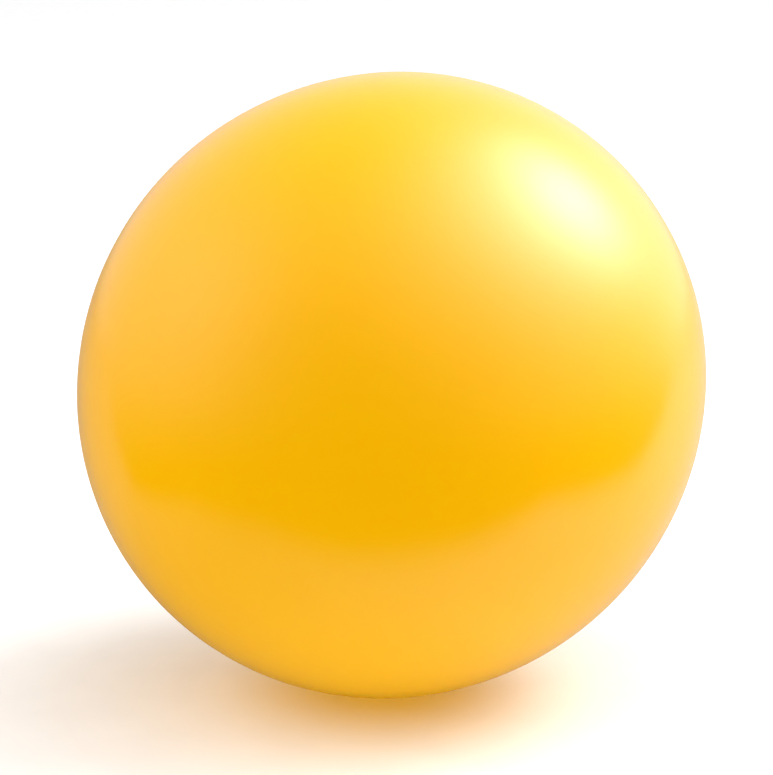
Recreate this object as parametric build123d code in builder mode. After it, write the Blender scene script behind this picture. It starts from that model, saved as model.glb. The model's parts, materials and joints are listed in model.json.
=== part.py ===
"""Soft weighted medicine ball: a hollow PVC shell, part filled with loose iron sand.

The shell is moulded in one piece, with a recess and an inward neck at one pole. The sand
is poured in through the neck, a barbed bung closes it for good, a self-closing rubber
needle valve sits in the bung, and a small push-in plug keeps grit out of the valve.

Millimetres, +Z up. The origin is the middle of the small flat that the ball rests on.
The valve axis runs along +Y through the ball's centre, and every height is measured from
the ball's centre along that axis, unless its name or comment says otherwise.
"""

from build123d import *

import os
from math import sqrt

# The ball
ball_radius = 60.0
wall = 4.0
rest_flat_radius = 8.0
inner_radius = ball_radius - wall
centre_z = sqrt(ball_radius**2 - rest_flat_radius**2)

# The recess and the neck that the sand is poured through
recess_radius = 11.3
recess_floor = 56.8
recess_lip_round = 0.8
neck_outer_radius = 11.0
neck_bore_radius = 7.0
neck_tip = 43.8
neck_root_round = 2.5
neck_tip_round = 1.0
groove_radius = 8.2
groove_bottom = 46.8
groove_top = 49.8

# The bung that closes the neck
fit_gap = 0.05
bung_dome_radius = ball_radius - 0.15
bung_head_radius = 11.0
bung_rim_round = 0.4
bung_tip = 43.0
bung_tip_chamfer = 0.8
barb_radius = groove_radius - 0.1
barb_bottom = groove_bottom + 0.2
barb_top = groove_top - 0.1
cup_radius = 4.7
cup_floor = 57.85
nail_notch_radius = 3.0
nail_notch_offset = 6.3
nail_notch_height = 61.2

# The needle valve in the bung
valve_flange_radius = 4.0
valve_flange_bottom = 56.25
valve_body_radius = 3.0
bead_radius = 3.8
bead_tip = 40.8
lip_root_radius = 2.7
lip_tip = 35.4
lip_width = 4.6
lip_thickness = 1.5
slit_width = 3.0
slit_gap = 0.25
socket_radius = 1.9
socket_floor = 53.6
channel_radius = 1.05
channel_end = 39.0

# The sealing plug in the valve
plug_dome_radius = ball_radius - 0.3
plug_head_radius = 4.4
plug_head_bottom = cup_floor + 0.1
plug_rim_round = 0.35
plug_stem_radius = socket_radius - fit_gap
plug_stem_tip = 54.2
plug_tip_chamfer = 0.5
grip_pocket_radius = 3.5
grip_pocket_depth = 0.8
grip_rib_width = 1.4

# The loose sand: its level is a depth below the ball's centre
sand_level = 7.0
sand_radius = inner_radius - 0.25
sand_relief_radius = neck_outer_radius + 0.6
sand_relief_tip = lip_tip - 0.8
sand_flare_start = 50.0
sand_flare_radius = 16.5

# Turned profiles are drawn with X as the distance from the valve axis and Y along it.
profile_plane = Plane.XY.offset(centre_z)
valve_axis = Axis((0, 0, centre_z), (0, 1, 0))


def height_on(radius, distance):
    """The height at which a sphere about the ball's centre is a distance from the valve axis."""
    return sqrt(radius**2 - distance**2)


def across_axis(height):
    """The plane square to the valve axis at a height, facing out of the ball."""
    return Plane((0, height, centre_z), x_dir=(1, 0, 0), z_dir=(0, 1, 0))


# The shell: sphere, recess and neck in one turned wall, with a flat where it rests
recess_rim = (recess_radius, height_on(ball_radius, recess_radius))
neck_root = (neck_outer_radius, height_on(inner_radius, neck_outer_radius))
neck_corner = (neck_outer_radius, neck_tip)
with BuildPart() as ball_shell:
    with BuildSketch(profile_plane) as shell_profile:
        with BuildLine():
            skin = ThreePointArc((0, -ball_radius), (ball_radius, 0), recess_rim)
            throat = Polyline(
                recess_rim,
                (recess_radius, recess_floor),
                (neck_bore_radius, recess_floor),
                (neck_bore_radius, groove_top),
                (groove_radius, groove_top),
                (neck_bore_radius, groove_bottom),
                (neck_bore_radius, neck_tip),
                neck_corner,
                neck_root,
            )
            lining = ThreePointArc(neck_root, (inner_radius, 0), (0, -inner_radius))
            Line(lining @ 1, skin @ 0)
        make_face()
        fillet(shell_profile.vertices().sort_by_distance(Vertex(*recess_rim))[0], recess_lip_round)
        fillet(shell_profile.vertices().sort_by_distance(Vertex(*neck_corner))[0], neck_tip_round)
        fillet(shell_profile.vertices().sort_by_distance(Vertex(*neck_root))[0], neck_root_round)
    revolve(axis=valve_axis)
    split(bisect_by=Plane.XY, keep=Keep.TOP)
ball_shell.part.label = "ball_shell"

# The bung: a domed head in the recess, and a barbed shank that snaps into the neck
bung_bore_radius = valve_body_radius + fit_gap
bung_seat_radius = valve_flange_radius + fit_gap
bung_shank_radius = neck_bore_radius - fit_gap
bung_rim = (bung_head_radius, height_on(bung_dome_radius, bung_head_radius))
bung_tip_corner = (bung_shank_radius, bung_tip)
dome_middle = (bung_head_radius + cup_radius) / 2
with BuildPart() as filler_bung:
    with BuildSketch(profile_plane) as bung_profile:
        with BuildLine():
            shank = Polyline(
                (bung_bore_radius, bung_tip),
                bung_tip_corner,
                (bung_shank_radius, barb_bottom),
                (barb_radius, barb_top),
                (bung_shank_radius, barb_top),
                (bung_shank_radius, recess_floor),
                (bung_head_radius, recess_floor),
                bung_rim,
            )
            dome = ThreePointArc(
                bung_rim,
                (dome_middle, height_on(bung_dome_radius, dome_middle)),
                (cup_radius, height_on(bung_dome_radius, cup_radius)),
            )
            Polyline(
                dome @ 1,
                (cup_radius, cup_floor),
                (bung_seat_radius, cup_floor),
                (bung_seat_radius, valve_flange_bottom),
                (bung_bore_radius, valve_flange_bottom),
                shank @ 0,
            )
        make_face()
        fillet(bung_profile.vertices().sort_by_distance(Vertex(*bung_rim))[0], bung_rim_round)
        chamfer(bung_profile.vertices().sort_by_distance(Vertex(*bung_tip_corner))[0], bung_tip_chamfer)
    revolve(axis=valve_axis)
    # A fingernail notch at the side of the cup, to lift the sealing plug
    with Locations((nail_notch_offset, nail_notch_height, centre_z)):
        Sphere(nail_notch_radius, mode=Mode.SUBTRACT)
filler_bung.part.label = "filler_bung"

# The valve: a flanged rubber sleeve with a retaining bead, ending in two flat lips
with BuildPart() as needle_valve:
    with BuildSketch(profile_plane):
        with BuildLine():
            Polyline(
                (0, bead_tip),
                (lip_root_radius, bead_tip),
                (bead_radius, bung_tip),
                (valve_body_radius, bung_tip),
                (valve_body_radius, valve_flange_bottom),
                (valve_flange_radius, valve_flange_bottom),
                (valve_flange_radius, cup_floor),
                (0, cup_floor),
                close=True,
            )
        make_face()
    revolve(axis=valve_axis)
    with BuildSketch(across_axis(bead_tip)):
        Circle(lip_root_radius)
    with BuildSketch(across_axis(lip_tip)):
        SlotOverall(lip_width, lip_thickness)
    loft()
    # The plug's socket funnels into the needle's channel, which ends at the closed slit
    with BuildSketch(profile_plane):
        with BuildLine():
            Polyline(
                (0, channel_end),
                (channel_radius, channel_end),
                (channel_radius, socket_floor - (socket_radius - channel_radius)),
                (socket_radius, socket_floor),
                (socket_radius, cup_floor),
                (0, cup_floor),
                close=True,
            )
        make_face()
    revolve(axis=valve_axis, mode=Mode.SUBTRACT)
    with BuildSketch(across_axis(lip_tip)):
        SlotOverall(slit_width, slit_gap)
    extrude(amount=channel_end - lip_tip, mode=Mode.SUBTRACT)
needle_valve.part.label = "needle_valve"

# The sealing plug: a domed head with a pinch rib, and a stem that fills the valve's socket
plug_rim = (plug_head_radius, height_on(plug_dome_radius, plug_head_radius))
plug_stem_corner = (plug_stem_radius, plug_stem_tip)
with BuildPart() as sealing_plug:
    with BuildSketch(profile_plane) as plug_profile:
        with BuildLine():
            stem = Polyline(
                (0, plug_stem_tip),
                plug_stem_corner,
                (plug_stem_radius, plug_head_bottom),
                (plug_head_radius, plug_head_bottom),
                plug_rim,
            )
            crown = ThreePointArc(
                plug_rim,
                (plug_head_radius / 2, height_on(plug_dome_radius, plug_head_radius / 2)),
                (0, plug_dome_radius),
            )
            Line(crown @ 1, stem @ 0)
        make_face()
        fillet(plug_profile.vertices().sort_by_distance(Vertex(*plug_rim))[0], plug_rim_round)
        chamfer(plug_profile.vertices().sort_by_distance(Vertex(*plug_stem_corner))[0], plug_tip_chamfer)
    revolve(axis=valve_axis)
    # Two pockets leave a rib across the head to pinch
    with BuildSketch(across_axis(plug_dome_radius)):
        Circle(grip_pocket_radius)
        Rectangle(grip_rib_width, 2 * grip_pocket_radius, mode=Mode.SUBTRACT)
    extrude(amount=-grip_pocket_depth, mode=Mode.SUBTRACT)
sealing_plug.part.label = "sealing_plug"

# The sand: the low part of the hollow up to a level surface, turned clear of neck and valve
with BuildPart() as iron_sand:
    with Locations((0, 0, centre_z)):
        Sphere(sand_radius)
    split(bisect_by=Plane.XY.offset(centre_z - sand_level), keep=Keep.BOTTOM)
    with BuildSketch(profile_plane):
        with BuildLine():
            Polyline(
                (0, sand_relief_tip),
                (sand_relief_radius, sand_relief_tip),
                (sand_relief_radius, sand_flare_start),
                (sand_flare_radius, inner_radius),
                (0, inner_radius),
                close=True,
            )
        make_face()
    revolve(axis=valve_axis, mode=Mode.SUBTRACT)
iron_sand.part.label = "iron_sand"

os.makedirs("parts", exist_ok=True)
for piece in (ball_shell, filler_bung, needle_valve, sealing_plug, iron_sand):
    export_step(piece.part, f"parts/{piece.part.label}.step")
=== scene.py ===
"""The looks of a soft weighted medicine ball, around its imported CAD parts. Metres, +Z up."""

import json
import math

import bpy
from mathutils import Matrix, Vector, noise


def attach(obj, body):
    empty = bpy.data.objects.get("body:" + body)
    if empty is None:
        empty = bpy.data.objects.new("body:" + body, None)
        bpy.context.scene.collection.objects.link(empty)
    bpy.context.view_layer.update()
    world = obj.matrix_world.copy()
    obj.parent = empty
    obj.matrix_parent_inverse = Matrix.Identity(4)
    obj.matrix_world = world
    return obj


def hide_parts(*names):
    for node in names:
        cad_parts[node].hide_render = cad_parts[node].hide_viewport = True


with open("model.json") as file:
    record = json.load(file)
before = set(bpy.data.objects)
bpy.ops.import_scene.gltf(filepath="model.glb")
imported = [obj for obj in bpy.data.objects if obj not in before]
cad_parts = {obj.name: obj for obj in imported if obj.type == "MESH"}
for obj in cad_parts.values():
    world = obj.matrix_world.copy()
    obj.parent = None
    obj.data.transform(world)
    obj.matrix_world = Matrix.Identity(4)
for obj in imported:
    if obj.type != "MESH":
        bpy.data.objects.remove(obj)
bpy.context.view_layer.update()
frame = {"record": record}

MM = 0.001

# The ball, in the same sizes as the CAD. Heights are along the valve axis, +Y, from its centre.
PORT = next(m for m in frame["record"]["mounts"] if m["name"] == "pump_needle_port")
CENTRE = Vector((0, 0, PORT["pos_m"][2]))
RADIUS = 60 * MM
INNER_RADIUS = 56 * MM
RECESS_FLOOR = 56.8 * MM
NECK_RADIUS = 11.0 * MM
NECK_BORE = 7.0 * MM
NECK_TIP = 43.8 * MM
GROOVE_RADIUS = 8.2 * MM
GROOVE_BOTTOM = 46.8 * MM
GROOVE_TOP = 49.8 * MM
CUP_FLOOR = 57.85 * MM
LIP_TIP = 35.4 * MM

# The soft skin's own shape: a little out of round, a little uneven, flat where it rests
LONG_AXIS = math.radians(40.6)
LONG_STRETCH = 1.0145
SHORT_STRETCH = 0.9852
UNEVENNESS = 0.07 * MM
REST_SOFTNESS = 0.25 * MM
PARTING_RIDGE = 0.05 * MM
PARTING_WIDTH = 0.45 * MM

# Turned meshes have this many vertices around, a multiple of 4
AROUND = 256


def lerp(a, b, t):
    return a + (b - a) * t


def smoothstep(low, high, value):
    t = min(1.0, max(0.0, (value - low) / (high - low)))
    return t * t * (3 - 2 * t)


def soft_min(a, b, softness):
    """The lesser of two heights, with the edge where they cross rounded off by about softness."""
    return (a + b - math.hypot(a - b, softness)) / 2


# Mesh tools


def around_valve(distance, height, angle):
    """A point at a distance from the valve axis and a height along it."""
    return CENTRE + Vector((distance * math.cos(angle), height, distance * math.sin(angle)))


def fillet(before, corner, after, radius, steps):
    """The points of an arc that rounds a corner of a profile."""
    corner = Vector(corner)
    to_before = (Vector(before) - corner).normalized()
    to_after = (Vector(after) - corner).normalized()
    half = to_before.angle(to_after) / 2
    bisector = (to_before + to_after).normalized()
    middle = corner + bisector * (radius / math.sin(half))
    start = corner + to_before * (radius / math.tan(half)) - middle
    end = corner + to_after * (radius / math.tan(half)) - middle
    turn = math.atan2(start.cross(end), start.dot(end))
    points = []
    for k in range(steps + 1):
        angle = turn * k / steps
        c, s = math.cos(angle), math.sin(angle)
        points.append(middle + Vector((start.x * c - start.y * s, start.x * s + start.y * c)))
    return points


def rounded(corners, closed=False, steps=4):
    """A profile through (distance, height, rounding) corners in millimetres, each one rounded."""
    places = [Vector(corner[:2]) * MM for corner in corners]
    profile = []
    for k, (place, corner) in enumerate(zip(places, corners)):
        inside = closed or 0 < k < len(corners) - 1
        if inside and corner[2]:
            after = places[(k + 1) % len(places)]
            profile += fillet(places[k - 1], place, after, corner[2] * MM, steps)
        else:
            profile.append(place)
    return profile


def divided(profile, longest, closed=False):
    """The same profile with extra points, so that no span is longer than a length."""
    result = []
    following = profile[1:] + profile[:1] if closed else profile[1:]
    for here, there in zip(profile, following):
        count = math.ceil((there - here).length / longest)
        result += [here.lerp(there, k / count) for k in range(count)]
    return result if closed else result + [profile[-1]]


def arc_about_centre(radius, angles):
    """Profile points on a sphere about the ball's centre, at angles from the valve axis."""
    return [Vector((radius * math.sin(a), radius * math.cos(a))) for a in angles]


def add_ring(points, verts):
    """Adds a ring of vertices, and returns their indices."""
    first = len(verts)
    verts += points
    return range(first, len(verts))


def turned_rings(profile, verts, faces, place=around_valve, closed=False):
    """Turns a profile about the valve axis, and returns its first and last rings of indices."""
    angles = [math.tau * k / AROUND for k in range(AROUND)]
    rings = [add_ring([place(point.x, point.y, a) for a in angles], verts) for point in profile]
    following = rings[1:] + rings[:1] if closed else rings[1:]
    for low, high in zip(rings, following):
        for k in range(AROUND):
            after = (k + 1) % AROUND
            faces.append((low[k], high[k], high[after], low[after]))
    return rings[0], rings[-1]


def fill_ring(ring, place, flipped, verts, faces):
    """Fills a ring with a square grid of quads, pressed into a disc.

    place(share, angle) gives the point at a share of the way out from the middle.
    """
    side = len(ring) // 4
    lines = [math.sqrt(2) * math.sin(math.pi / 2 * (i / side - 0.5)) for i in range(side + 1)]
    index = {}
    for i, x in enumerate(lines):
        for j, y in enumerate(lines):
            u = x * math.sqrt(1 - y * y / 2)
            v = y * math.sqrt(1 - x * x / 2)
            angle = math.atan2(v, u)
            if i in (0, side) or j in (0, side):
                index[i, j] = ring[round(angle / math.tau * len(ring)) % len(ring)]
                continue
            index[i, j] = len(verts)
            verts.append(place(math.hypot(u, v), angle))
    for i in range(side):
        for j in range(side):
            quad = (index[i, j], index[i + 1, j], index[i + 1, j + 1], index[i, j + 1])
            faces.append(quad[::-1] if flipped else quad)


def add_piece(name, verts, faces, material, body, node):
    """A smooth-shaded mesh that rides on a body and stands for a CAD node."""
    mesh = bpy.data.meshes.new(name)
    mesh.from_pydata([tuple(v) for v in verts], [], faces)
    mesh.validate()
    mesh.update()
    mesh.shade_smooth()
    mesh.materials.append(material)
    piece = bpy.data.objects.new(name, mesh)
    bpy.context.scene.collection.objects.link(piece)
    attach(piece, body)
    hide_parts(node)
    return piece


# The shell


def skin_angles(lip_angle, cap_angle):
    """Ring places from the recess's lip to the cap: close at the lip and at the parting line."""
    parting = math.pi / 2
    near = [math.radians(step) for step in (0.25, 0.45, 0.65, 0.95, 1.4)]
    valve_half, far_half = 56, 40
    crowding = 1.15
    shares = [(k / valve_half) ** crowding for k in range(valve_half + 1)]
    angles = [lerp(lip_angle, parting - near[-1], share) for share in shares]
    angles += [parting - a for a in near[-2::-1]] + [parting] + [parting + a for a in near[:-1]]
    shares = [k / far_half for k in range(far_half + 1)]
    angles += [lerp(parting + near[-1], math.pi - cap_angle, share) for share in shares]
    return angles


def soft_skin(point):
    """Moves a point of the perfect outer or inner sphere onto the real, soft one.

    Near the valve the sphere stays perfect, so that the bung fits.
    """
    perfect_within, soft_beyond = math.radians(13), math.radians(34)
    lumps_per_radius, noise_place = 1.7, Vector((3.1, 0.4, 7.7))
    falloff, lacunarity, octaves = 1.0, 2.0, 2
    offset = point - CENTRE
    away = offset.angle(Vector((0, 1, 0)))
    settled = smoothstep(perfect_within, soft_beyond, away)
    along = Vector((math.cos(LONG_AXIS), 0, math.sin(LONG_AXIS)))
    across = Vector((-math.sin(LONG_AXIS), 0, math.cos(LONG_AXIS)))
    stretched = offset.copy()
    stretched += along * offset.dot(along) * (LONG_STRETCH - 1) * settled
    stretched += across * offset.dot(across) * (SHORT_STRETCH - 1) * settled
    direction = offset.normalized()
    lumps = noise.fractal(direction * lumps_per_radius + noise_place, falloff, lacunarity, octaves)
    swell = UNEVENNESS * lumps
    ridge = PARTING_RIDGE * math.exp(-((offset.y / PARTING_WIDTH) ** 2))
    moved = CENTRE + stretched + direction * (swell * settled + ridge)
    moved.z = (moved.z + math.sqrt(moved.z**2 + REST_SOFTNESS**2)) / 2
    return moved


def make_shell(material):
    """The hollow skin: outer face, recess, neck and bore, and the inner face."""
    cap_angle = math.radians(30)
    recess = 11.3 * MM
    inner_spans = 60
    along_tangent = 5 * MM
    rim = Vector((recess, math.sqrt(RADIUS**2 - recess**2)))
    root = Vector((NECK_RADIUS, math.sqrt(INNER_RADIUS**2 - NECK_RADIUS**2)))
    rim_tangent = rim + Vector((rim.y, -rim.x)).normalized() * along_tangent
    lip = fillet(rim_tangent, rim, (recess, RECESS_FLOOR), 0.9 * MM, 8)
    lip_angle = math.atan2(lip[0].x, lip[0].y)
    outside = arc_about_centre(RADIUS, skin_angles(lip_angle, cap_angle)[::-1])
    seat = fillet(lip[-1], (recess, RECESS_FLOOR), (NECK_BORE, RECESS_FLOOR), 0.25 * MM, 4)
    mouth = fillet(seat[-1], (NECK_BORE, RECESS_FLOOR), (NECK_BORE, GROOVE_TOP), 0.3 * MM, 4)
    groove = [Vector((NECK_BORE, GROOVE_TOP)), Vector((GROOVE_RADIUS, GROOVE_TOP))]
    groove.append(Vector((NECK_BORE, GROOVE_BOTTOM)))
    tip = fillet(groove[-1], (NECK_BORE, NECK_TIP), (NECK_RADIUS, NECK_TIP), 0.6 * MM, 4)
    tip += fillet((NECK_BORE, NECK_TIP), (NECK_RADIUS, NECK_TIP), root, 1.0 * MM, 6)
    root_tangent = root + Vector((root.y, -root.x)).normalized() * along_tangent
    armpit = fillet((NECK_RADIUS, NECK_TIP), root, root_tangent, 2.5 * MM, 8)
    inner_start = math.atan2(armpit[-1].x, armpit[-1].y)
    shares = [k / inner_spans for k in range(1, inner_spans + 1)]
    inside_angles = [lerp(inner_start, math.pi - cap_angle, share) for share in shares]
    inside = arc_about_centre(INNER_RADIUS, inside_angles)
    verts, faces = [], []
    profile = outside[:-1] + lip + seat + mouth + groove + tip + armpit + inside
    first, last = turned_rings(profile, verts, faces)
    skin_rings = len(outside) * AROUND
    turned = len(verts)

    def far_cap(radius):
        return lambda share, angle: around_valve(
            radius * math.sin(share * cap_angle), -radius * math.cos(share * cap_angle), angle
        )

    fill_ring(first, far_cap(RADIUS), False, verts, faces)
    skin_cap = len(verts)
    fill_ring(last, far_cap(INNER_RADIUS), True, verts, faces)
    for k in [*range(skin_rings), *range(turned, skin_cap)]:
        verts[k] = soft_skin(verts[k])
    shell = add_piece("vinyl_skin", verts, faces, material, "ball", "ball_shell")


# The bung, the plug and the valve


def domed(radius, distance):
    """The height of a sphere about the ball's centre at a distance from the valve axis."""
    return math.sqrt(radius**2 - distance**2)


def make_bung(material):
    """The filler bung: domed head, cup for the plug, fingernail notch, and barbed shank."""
    dome_radius = 59.85 * MM
    top = dome_radius / MM
    notch_radius, notch_offset, notch_height = 3.0 * MM, 6.3 * MM, 61.2 * MM
    notch_reach = 2.9 * MM
    edge_softness = 0.14 * MM
    head_span, shank_span = 0.13 * MM, 0.8 * MM
    head = rounded(
        [(4.05, 57.85, 0), (4.7, 57.85, 0.1), (4.7, top, 0.22), (11.0, top, 0.45), (11.0, 57.0, 0)]
    )
    shank = rounded(
        [(11.0, 57.0, 0), (11.0, 56.8, 0.08), (6.95, 56.8, 0.1), (6.95, 49.7, 0), (8.1, 49.7, 0.12)]
        + [(6.95, 47.0, 0), (6.95, 43.8, 0.3), (6.15, 43.0, 0.3), (3.05, 43.0, 0.15)]
        + [(3.05, 56.25, 0), (4.05, 56.25, 0), (4.05, 57.85, 0)]
    )

    def placed(distance, height, angle):
        if height > CUP_FLOOR:
            surface = domed(dome_radius, distance)
            away = math.hypot(distance * math.cos(angle) - notch_offset, distance * math.sin(angle))
            if away < notch_reach:
                notch_floor = notch_height - math.sqrt(notch_radius**2 - away**2)
                surface = soft_min(surface, notch_floor, edge_softness)
            height = lerp(CUP_FLOOR, surface, (height - CUP_FLOOR) / (dome_radius - CUP_FLOOR))
        return around_valve(distance, height, angle)

    verts, faces = [], []
    profile = divided(head, head_span)[:-1] + divided(shank, shank_span)[:-1]
    turned_rings(profile[::-1], verts, faces, placed, closed=True)
    bung = add_piece("bung", verts, faces, material, "ball", "filler_bung")


def make_plug(material):
    """The sealing plug: a domed head with two pockets that leave a rib to pinch, and a stem."""
    dome_radius = 59.7 * MM
    top = dome_radius / MM
    head_bottom = 57.95 * MM
    crown_radius = 4.05 * MM
    stem_end, stem_end_radius = 54.2 * MM, 1.0 * MM
    pocket_radius, pocket_depth, rib = 3.5 * MM, 0.8 * MM, 1.4 * MM
    edge, span = 0.28 * MM, 0.6 * MM
    side = rounded(
        [(1.0, 54.2, 0), (1.35, 54.2, 0.2), (1.85, 54.7, 0.2), (1.85, 57.95, 0.12)]
        + [(4.4, 57.95, 0.12), (4.4, top, 0.3), (4.05, top, 0)]
    )

    def placed(distance, height, angle):
        if height > head_bottom:
            surface = domed(dome_radius, distance)
            height = lerp(head_bottom, surface, (height - head_bottom) / (dome_radius - head_bottom))
        return around_valve(distance, height, angle)

    def crown(share, angle):
        distance = share * crown_radius
        beside_rib = smoothstep(-edge / 2, edge / 2, abs(distance * math.cos(angle)) - rib / 2)
        in_pocket = 1 - smoothstep(-edge / 2, edge / 2, distance - pocket_radius)
        height = domed(dome_radius, distance) - pocket_depth * beside_rib * in_pocket
        return around_valve(distance, height, angle)

    def bottom(share, angle):
        return around_valve(share * stem_end_radius, stem_end, angle)

    verts, faces = [], []
    first, last = turned_rings(divided(side, span), verts, faces, placed)
    fill_ring(first, bottom, False, verts, faces)
    fill_ring(last, crown, True, verts, faces)
    plug = add_piece("plug", verts, faces, material, "plug", "sealing_plug")


def make_valve(material):
    """The needle valve: flange, sleeve, bead and flat lips, with a socket, channel and slit inside."""
    bead_tip = 40.8 * MM
    funnel_top, funnel_tip = 40.2 * MM, 38.6 * MM
    bore_radius, sleeve_radius = 1.05 * MM, 2.7 * MM
    lip_half_width, lip_half_thickness = 2.3 * MM, 0.75 * MM
    slit_half_width, slit_half_gap = 1.5 * MM, 0.125 * MM
    lip_bluntness = 0.7
    span = 0.5 * MM
    profile = rounded(
        [(1.9, 57.85, 0.15), (4.0, 57.85, 0.15), (4.0, 56.25, 0.1), (3.0, 56.25, 0), (3.0, 43.0, 0)]
        + [(3.8, 43.0, 0.25), (2.7, 40.8, 0.2), (2.7, 35.4, 0.2), (1.05, 35.4, 0.05)]
        + [(1.05, 52.75, 0), (1.9, 53.6, 0)],
        closed=True,
    )

    def blunted(share, power):
        return math.copysign(abs(share) ** power, share)

    def placed(distance, height, angle):
        """Round by the flange, and flatter towards the lips: outward is 0 at the bore, 1 outside."""
        outward = (distance - bore_radius) / (sleeve_radius - bore_radius)
        closed = smoothstep(funnel_top, funnel_tip, height)
        flat = smoothstep(bead_tip, LIP_TIP, height)
        slit_wide = lerp(bore_radius, slit_half_width, closed)
        slit_high = lerp(bore_radius, slit_half_gap, closed)
        wide = lerp(slit_wide, lerp(sleeve_radius, lip_half_width, flat), outward)
        high = lerp(slit_high, lerp(sleeve_radius, lip_half_thickness, flat), outward)
        power = lerp(1.0, lip_bluntness, flat * outward)
        x = wide * blunted(math.cos(angle), power)
        z = high * blunted(math.sin(angle), power)
        return CENTRE + Vector((x, height, z))

    verts, faces = [], []
    turned_rings(divided(profile, span, closed=True)[::-1], verts, faces, placed, closed=True)
    valve = add_piece("valve", verts, faces, material, "ball", "needle_valve")


# The sand


def grains(place, size):
    """How far a surface of packed grains stands out at a place, from 0 between them to about 1."""
    steepness = 1.6
    nearest = noise.voronoi(place / size)[0][0]
    return max(0.0, 1 - nearest * nearest * steepness)


def make_sand(material):
    """The loose iron sand: an uneven, settled surface in the low part of the hollow.

    Its wall radius clears the hollow at its narrowest, so that the sand can turn in it.
    """
    around = 768
    level = -7.0 * MM
    mounding, mound_size, mound_slice = 1.1 * MM, 26 * MM, 4 * MM
    falloff, lacunarity, octaves = 1.0, 2.0, 3
    grain_size, grain_height = 1.3 * MM, 0.32 * MM
    wall_radius = 55.0 * MM
    trough_radius, trough_wide = 11.7 * MM, 16.7 * MM
    trough_start, trough_full = 31.0 * MM, 34.4 * MM
    flare_start, flare_end = 50.0 * MM, 56.0 * MM
    crest = 0.8 * MM
    halvings = 30
    smooth_edge = 0.97

    def surface(x, y):
        """The height of the sand over a place, from the ball's centre."""
        place = Vector((x, y, mound_slice)) / mound_size
        mound = noise.fractal(place, falloff, lacunarity, octaves)
        height = level + mounding * mound
        flare = min(1.0, max(0.0, (y - flare_start) / (flare_end - flare_start)))
        radius = lerp(trough_radius, trough_wide, flare)
        depth = math.sqrt(max(0.0, radius**2 - x * x))
        trough = -depth * smoothstep(trough_start, trough_full, y)
        height = soft_min(height, trough, crest)
        return height - grain_height * (1 - grains(Vector((x, y, height)), grain_size))

    def rim_distance(angle):
        """How far out the surface meets the wall of the hollow."""
        near, far = wall_radius / 2, wall_radius
        for _ in range(halvings):
            middle = (near + far) / 2
            height = surface(middle * math.cos(angle), middle * math.sin(angle))
            inside = math.hypot(middle, height) < wall_radius
            near, far = (middle, far) if inside else (near, middle)
        return near

    angles = [math.tau * k / around for k in range(around)]
    rim = [rim_distance(a) for a in angles]

    def rim_at(angle):
        place = (angle / math.tau) % 1.0 * around
        k = int(place) % around
        return lerp(rim[k], rim[(k + 1) % around], place - int(place))

    def top(share, angle):
        distance = share * rim_at(angle)
        x, y = distance * math.cos(angle), distance * math.sin(angle)
        point = Vector((x, y, surface(x, y)))
        return CENTRE + point * min(1.0, wall_radius / point.length)

    def bottom(share, angle):
        polar = share * math.asin(rim_at(angle) / wall_radius)
        flat = math.sin(polar)
        outward = Vector((flat * math.cos(angle), flat * math.sin(angle), -math.cos(polar)))
        dent = grain_height * (1 - grains(outward * wall_radius, grain_size))
        dent *= smoothstep(1.0, smooth_edge, share)
        return CENTRE + outward * (wall_radius - dent)

    verts, faces = [], []
    ring = add_ring([top(1.0, a) for a in angles], verts)
    fill_ring(ring, top, False, verts, faces)
    fill_ring(ring, bottom, True, verts, faces)
    sand = add_piece("sand", verts, faces, material, "sand", "iron_sand")


# Material tools


def new_material(name):
    material = bpy.data.materials.new(name)
    material.use_nodes = True
    tree = material.node_tree
    return material, tree, tree.nodes["Principled BSDF"]


def on_object(tree, texture, scale):
    """Gives a texture the object's own coordinates, and a scale in features per metre."""
    place = tree.nodes.new("ShaderNodeTexCoord")
    texture.inputs["Scale"].default_value = scale
    tree.links.new(place.outputs["Object"], texture.inputs["Vector"])


def grain(tree, scale, detail=2.0, roughness=0.5):
    """The value of a noise texture."""
    texture = tree.nodes.new("ShaderNodeTexNoise")
    texture.inputs["Detail"].default_value = detail
    texture.inputs["Roughness"].default_value = roughness
    on_object(tree, texture, scale)
    return texture.outputs["Fac"]


def cells(tree, scale, output):
    """An output of a cell texture: Distance from each cell's middle, or a random Color for each."""
    texture = tree.nodes.new("ShaderNodeTexVoronoi")
    on_object(tree, texture, scale)
    return texture.outputs[output]


def mapped(tree, value, low, high, from_low=0.3, from_high=0.7):
    """Stretches a value onto a range."""
    node = tree.nodes.new("ShaderNodeMapRange")
    node.inputs["From Min"].default_value = from_low
    node.inputs["From Max"].default_value = from_high
    node.inputs["To Min"].default_value = low
    node.inputs["To Max"].default_value = high
    tree.links.new(value, node.inputs["Value"])
    return node.outputs["Result"]


def blended(tree, value, first, second):
    """A colour between two, by a value from 0 to 1. Either may be another node's output."""
    node = tree.nodes.new("ShaderNodeMix")
    node.data_type = "RGBA"
    for socket, colour in ((node.inputs["A"], first), (node.inputs["B"], second)):
        if isinstance(colour, tuple):
            socket.default_value = (*colour, 1)
        else:
            tree.links.new(colour, socket)
    tree.links.new(value, node.inputs["Factor"])
    return node.outputs["Result"]


def bumped(tree, height, distance, normal=None):
    """A bump whose height is in metres, on top of another bump if there is one."""
    node = tree.nodes.new("ShaderNodeBump")
    node.inputs["Distance"].default_value = distance
    tree.links.new(height, node.inputs["Height"])
    if normal:
        tree.links.new(normal, node.inputs["Normal"])
    return node.outputs["Normal"]


def maths(tree, operation, first, second=0.0):
    """A Math node's result. Each value is a number or another node's output."""
    node = tree.nodes.new("ShaderNodeMath")
    node.operation = operation
    for socket, value in zip(node.inputs, (first, second)):
        if isinstance(value, (int, float)):
            socket.default_value = value
        else:
            tree.links.new(value, socket)
    return node.outputs["Value"]


# Materials


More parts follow.
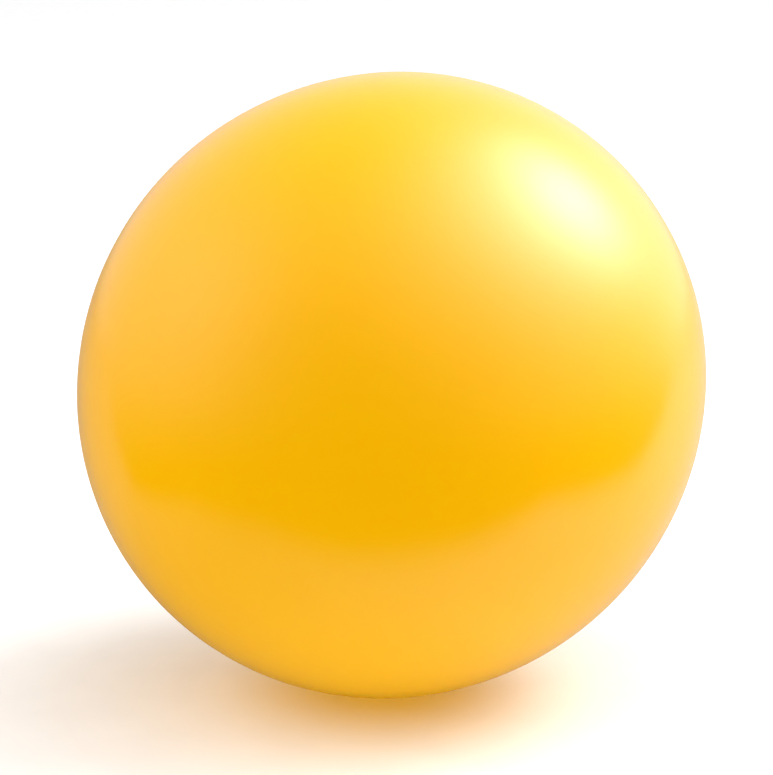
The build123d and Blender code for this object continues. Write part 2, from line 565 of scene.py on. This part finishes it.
def vinyl(name, bright, deep, roughness):
    """Soft moulded vinyl: satin, very finely grained, with faint clouding and handling marks."""
    cloud_scale, mark_scale, peel_scale, fine_scale = 24, 90, 420, 3200
    peel_height, fine_height = 0.016 * MM, 0.004 * MM
    smoothest, roughest = roughness - 0.015, roughness + 0.03
    material, tree, shader = new_material(name)
    clouds = mapped(tree, grain(tree, cloud_scale, detail=3.0), 0.0, 1.0)
    tree.links.new(blended(tree, clouds, bright, deep), shader.inputs["Base Color"])
    marks = grain(tree, mark_scale, detail=5.0, roughness=0.6)
    tree.links.new(mapped(tree, marks, smoothest, roughest), shader.inputs["Roughness"])
    orange_peel = bumped(tree, grain(tree, peel_scale), peel_height)
    fine = bumped(tree, grain(tree, fine_scale, detail=1.0), fine_height, orange_peel)
    tree.links.new(fine, shader.inputs["Normal"])
    shader.inputs["IOR"].default_value = 1.7
    shader.inputs["Subsurface Weight"].default_value = 0.12
    shader.inputs["Subsurface Radius"].default_value = (1.0, 0.4, 0.06)
    shader.inputs["Subsurface Scale"].default_value = 2.5 * MM
    return material


def hard_plastic(name, bright, deep):
    """Moulded polythene: paler than the vinyl, with flow marks and a few fine scuffs."""
    flow_scale, scuff_scale, ripple_scale, fine_scale = 160, 900, 700, 5200
    ripple_height, fine_height = 0.01 * MM, 0.004 * MM
    smoothest, roughest = 0.24, 0.42
    material, tree, shader = new_material(name)
    flow = mapped(tree, grain(tree, flow_scale), 0.0, 1.0)
    tree.links.new(blended(tree, flow, bright, deep), shader.inputs["Base Color"])
    scuffs = grain(tree, scuff_scale, detail=6.0, roughness=0.7)
    tree.links.new(mapped(tree, scuffs, smoothest, roughest), shader.inputs["Roughness"])
    ripple = bumped(tree, grain(tree, ripple_scale), ripple_height)
    fine = bumped(tree, grain(tree, fine_scale), fine_height, ripple)
    tree.links.new(fine, shader.inputs["Normal"])
    shader.inputs["IOR"].default_value = 1.51
    shader.inputs["Subsurface Weight"].default_value = 0.25
    shader.inputs["Subsurface Radius"].default_value = (1.0, 0.6, 0.15)
    shader.inputs["Subsurface Scale"].default_value = 1.5 * MM
    return material


def black_rubber(name):
    """Moulded black rubber: dull, finely pitted, with a pale dusty bloom in patches."""
    black, dusty = (0.012, 0.012, 0.013), (0.055, 0.052, 0.048)
    bloom_scale, wear_scale, pit_scale = 260, 500, 2600
    smoothest, roughest, pit_depth = 0.5, 0.72, 0.02 * MM
    material, tree, shader = new_material(name)
    bloom = grain(tree, bloom_scale, detail=5.0, roughness=0.65)
    bloom = mapped(tree, bloom, 0.0, 0.5, from_low=0.5, from_high=0.75)
    tree.links.new(blended(tree, bloom, black, dusty), shader.inputs["Base Color"])
    wear = mapped(tree, grain(tree, wear_scale, detail=3.0), smoothest, roughest)
    tree.links.new(wear, shader.inputs["Roughness"])
    pits = grain(tree, pit_scale, detail=4.0, roughness=0.6)
    tree.links.new(bumped(tree, pits, pit_depth), shader.inputs["Normal"])
    shader.inputs["IOR"].default_value = 1.52
    return material


def iron_grit(name):
    """Dark iron sand: grains of mixed greys, some of them rusty, with a dull metallic glint."""
    dark_grain, pale_grain, rusty = (0.028, 0.028, 0.031), (0.16, 0.155, 0.15), (0.13, 0.055, 0.025)
    grain_scale, rust_scale, glint_scale, fine_scale = 1500, 1100, 1900, 6000
    grain_height, fine_height = 0.25 * MM, 0.04 * MM
    material, tree, shader = new_material(name)
    grain_colour = cells(tree, grain_scale, "Color")
    tone = mapped(tree, grain_colour, 0.0, 1.0, from_low=0.1, from_high=0.9)
    greys = blended(tree, tone, dark_grain, pale_grain)
    rust = mapped(tree, grain(tree, rust_scale), 0.0, 0.55, from_low=0.56, from_high=0.66)
    tree.links.new(blended(tree, rust, greys, rusty), shader.inputs["Base Color"])
    dullness = mapped(tree, grain_colour, 0.32, 0.75, from_low=0.0, from_high=1.0)
    tree.links.new(dullness, shader.inputs["Roughness"])
    glint = grain(tree, glint_scale, detail=1.0)
    glint = mapped(tree, glint, 0.2, 0.85, from_low=0.4, from_high=0.6)
    tree.links.new(glint, shader.inputs["Metallic"])
    coarse = bumped(tree, cells(tree, grain_scale, "Distance"), -grain_height)
    fine = bumped(tree, grain(tree, fine_scale, detail=3.0), fine_height, coarse)
    tree.links.new(fine, shader.inputs["Normal"])
    return material


def matt(name, grey, left_painted_shade=1.0):
    """A matt surface with a trace of mottling, for the stage.

    It is black where its sheet fades out. On the left its colour is darker by a given share: painted
    shade, for the ball's shadow and the light falling off away from the key.
    """
    left_end, right_end = -0.06, 0.09
    mottle_scale, wear_scale = 60, 40
    smoothest, roughest = 0.55, 0.62
    material, tree, shader = new_material(name)
    mottle = mapped(tree, grain(tree, mottle_scale, detail=4.0), 1.0, 0.96)
    place = tree.nodes.new("ShaderNodeTexCoord")
    across = tree.nodes.new("ShaderNodeSeparateXYZ")
    tree.links.new(place.outputs["Object"], across.inputs["Vector"])
    # Painted shade: the colour darkens towards the left, for the ball's shadow and the light falling
    # off there
    side = mapped(tree, across.outputs["X"], left_painted_shade, 1.0, left_end, right_end)
    strength = tree.nodes.new("ShaderNodeAttribute")
    strength.attribute_name = "strength"
    tone = maths(tree, "MULTIPLY", maths(tree, "MULTIPLY", mottle, side), strength.outputs["Fac"])
    tree.links.new(blended(tree, tone, (0, 0, 0), (grey,) * 3), shader.inputs["Base Color"])
    wear = mapped(tree, grain(tree, wear_scale, detail=3.0), smoothest, roughest)
    tree.links.new(wear, shader.inputs["Roughness"])
    return material


# The stage

# Soft studio light, seen in the ball as reflections: name, azimuth to the right of the camera and
# elevation in degrees, how far from its middle in degrees it falls to 0.61, and the brightness
PANELS = (
    ("key", 116, 41, 11, 5.4),
    ("key_glow", 98, 49, 17, 3.1),
    ("key_haze", 105, 42, 26, 0.8),
    ("right_panel", 70, 35, 25, 0.48),
    ("top_panel", 40, 62, 22, 0.5),
    ("right_wall", 127, 15, 15, 0.6),
    ("back_right_wall", 150, 11, 25, 1.0),
    ("left_panel", -85, 28, 22, 0.72),
    ("back_left_wall", -145, 14, 26, 0.55),
)
# Soft light that doesn't show as reflections: name, azimuth, elevation and power in watts
FILLS = (
    ("left_fill", -88, 28, 16.0),
    ("front_fill", 0, 58, 10.5),
    ("right_bounce", 60, -15, 9.0),
    ("front_bounce", 5, -50, 14.5),
    ("left_bounce", -75, -40, 10.0),
)
BACKDROP = 0.95


def direction(azimuth, elevation):
    """The way from the ball to a place in the studio, in degrees from the camera and up."""
    a, e = math.radians(azimuth), math.radians(elevation)
    return Vector((math.sin(a) * math.cos(e), -math.cos(a) * math.cos(e), math.sin(e)))


def aim(thing, target):
    """Turns a lamp or a camera to face a point."""
    thing.rotation_euler = (Vector(target) - thing.location).to_track_quat("-Z", "Y").to_euler()


def make_world():
    """Soft round panels of light that fade out below the horizon, and the camera's pale backdrop."""
    dark_below = -0.35
    world = bpy.data.worlds.new("studio")
    world.use_nodes = True
    tree = world.node_tree
    place = tree.nodes.new("ShaderNodeTexCoord")
    total = 0.0
    for name, azimuth, elevation, width, brightness in PANELS:
        facing = tree.nodes.new("ShaderNodeVectorMath")
        facing.operation = "DOT_PRODUCT"
        facing.label = name
        facing.inputs[1].default_value = direction(azimuth, elevation)
        tree.links.new(place.outputs["Generated"], facing.inputs[0])
        short = maths(tree, "SUBTRACT", facing.outputs["Value"], 1.0)
        falloff = maths(tree, "EXPONENT", maths(tree, "DIVIDE", short, math.radians(width) ** 2))
        total = maths(tree, "ADD", total, maths(tree, "MULTIPLY", falloff, brightness))
    height = tree.nodes.new("ShaderNodeSeparateXYZ")
    tree.links.new(place.outputs["Generated"], height.inputs["Vector"])
    above = mapped(tree, height.outputs["Z"], 0.0, 1.0, dark_below, 0.0)
    panels = tree.nodes["Background"]
    panels.inputs["Color"].default_value = (1, 1, 1, 1)
    tree.links.new(maths(tree, "MULTIPLY", total, above), panels.inputs["Strength"])
    backdrop = tree.nodes.new("ShaderNodeBackground")
    backdrop.inputs["Color"].default_value = (1, 1, 1, 1)
    backdrop.inputs["Strength"].default_value = BACKDROP
    choice = tree.nodes.new("ShaderNodeMixShader")
    path = tree.nodes.new("ShaderNodeLightPath")
    tree.links.new(path.outputs["Is Camera Ray"], choice.inputs["Fac"])
    tree.links.new(panels.outputs["Background"], choice.inputs[1])
    tree.links.new(backdrop.outputs["Background"], choice.inputs[2])
    tree.links.new(choice.outputs["Shader"], tree.nodes["World Output"].inputs["Surface"])
    bpy.context.scene.world = world


def make_fills():
    """Large, weak lamps. Those below the floor stand for the light that it throws back."""
    distance, size = 1.4, 1.6
    for name, azimuth, elevation, power in FILLS:
        lamp = bpy.data.lights.new(name, "AREA")
        lamp.size = size
        lamp.energy = power
        fill = bpy.data.objects.new(name, lamp)
        fill.location = CENTRE + direction(azimuth, elevation) * distance
        bpy.context.scene.collection.objects.link(fill)
        aim(fill, CENTRE)
        fill.visible_glossy = False
        fill.visible_camera = False
        lamp.cycles.use_multiple_importance_sampling = False


def level_sheet(name, corners, height, material, fade=0.0):
    """A flat part of the stage, through corners that go round to the left.

    Its colour fades out over a share of the way to the ball, half of it outside the corners.
    """
    count = len(corners)
    within, beyond = 1 - fade / 2, 1 + fade / 2
    verts = [(x * within, y * within, height) for x, y in corners]
    faces = [range(count)]
    if fade:
        verts += [(x * beyond, y * beyond, height) for x, y in corners]
        faces += [(k, k + count, (k + 1) % count + count, (k + 1) % count) for k in range(count)]
    mesh = bpy.data.meshes.new(name)
    mesh.from_pydata(verts, [], faces)
    strength = mesh.attributes.new("strength", "FLOAT", "POINT")
    strength.data.foreach_set("value", [1.0] * count + [0.0] * (len(verts) - count))
    mesh.materials.append(material)
    sheet = bpy.data.objects.new(name, mesh)
    bpy.context.scene.collection.objects.link(sheet)
    sheet.visible_shadow = False
    sheet.visible_transmission = False
    return sheet


def make_floor():
    """The pale floor that the camera sees, and the greyer table that the ball mirrors.

    The table narrows towards the camera and ends a little in front of the ball, so the ball
    mirrors a dark room there, and its colour fades out at that edge. Its left is painted darker,
    as shade from the ball and from the key's light falling off.
    """
    floor_corners = [(-6, -6), (6, -6), (6, 6), (-6, 6)]
    table_front, table_height = -0.091, -0.5 * MM
    floor = level_sheet("floor", floor_corners, 0.0, matt("pale_floor", 0.82))
    floor.visible_diffuse = False
    floor.visible_glossy = False
    table_corners = [(-0.065, table_front), (0.10, table_front), (0.165, -0.015), (3, 1.7), (3, 3)]
    table_corners += [(-3, 3), (-3, 1.6), (-0.14, 0.0), (-0.12, -0.06)]
    # The table's left is painted darker, as the ball's shadow and the key's light falling off
    grey_table_painted_shade = matt("grey_table_painted_shade", 0.39, left_painted_shade=0.4)
    table = level_sheet("table", table_corners, table_height, grey_table_painted_shade, fade=0.26)
    table.visible_camera = False


def make_camera():
    """In front of the ball and a little above it. The ball fills 0.81 of the frame's width."""
    share, elevation = 0.813, 12
    picture_width, picture_height = 773, 775
    aside, below = 0.9 * MM, 0.48 * MM
    camera = bpy.data.cameras.new("camera")
    camera.lens = 100
    camera.sensor_width = 36
    half_width = camera.sensor_width / 2 / camera.lens * picture_width / picture_height
    distance = RADIUS / math.sin(math.atan(half_width * share))
    thing = bpy.data.objects.new("camera", camera)
    thing.location = CENTRE + direction(0, elevation) * distance
    bpy.context.scene.collection.objects.link(thing)
    aim(thing, CENTRE - Vector((aside, 0, below)))
    bpy.context.scene.camera = thing


make_camera()
make_world()
make_fills()
make_floor()
bpy.context.scene.view_settings.view_transform = "Standard"

make_shell(vinyl("yellow_vinyl", (0.905, 0.45, 0.001), (0.885, 0.435, 0.0007), 0.18))
make_bung(vinyl("bung_vinyl", (0.91, 0.45, 0.004), (0.88, 0.42, 0.003), 0.26))
make_plug(hard_plastic("yellow_plastic", (0.94, 0.50, 0.02), (0.91, 0.46, 0.014)))
make_valve(black_rubber("black_rubber"))
make_sand(iron_grit("iron_sand"))
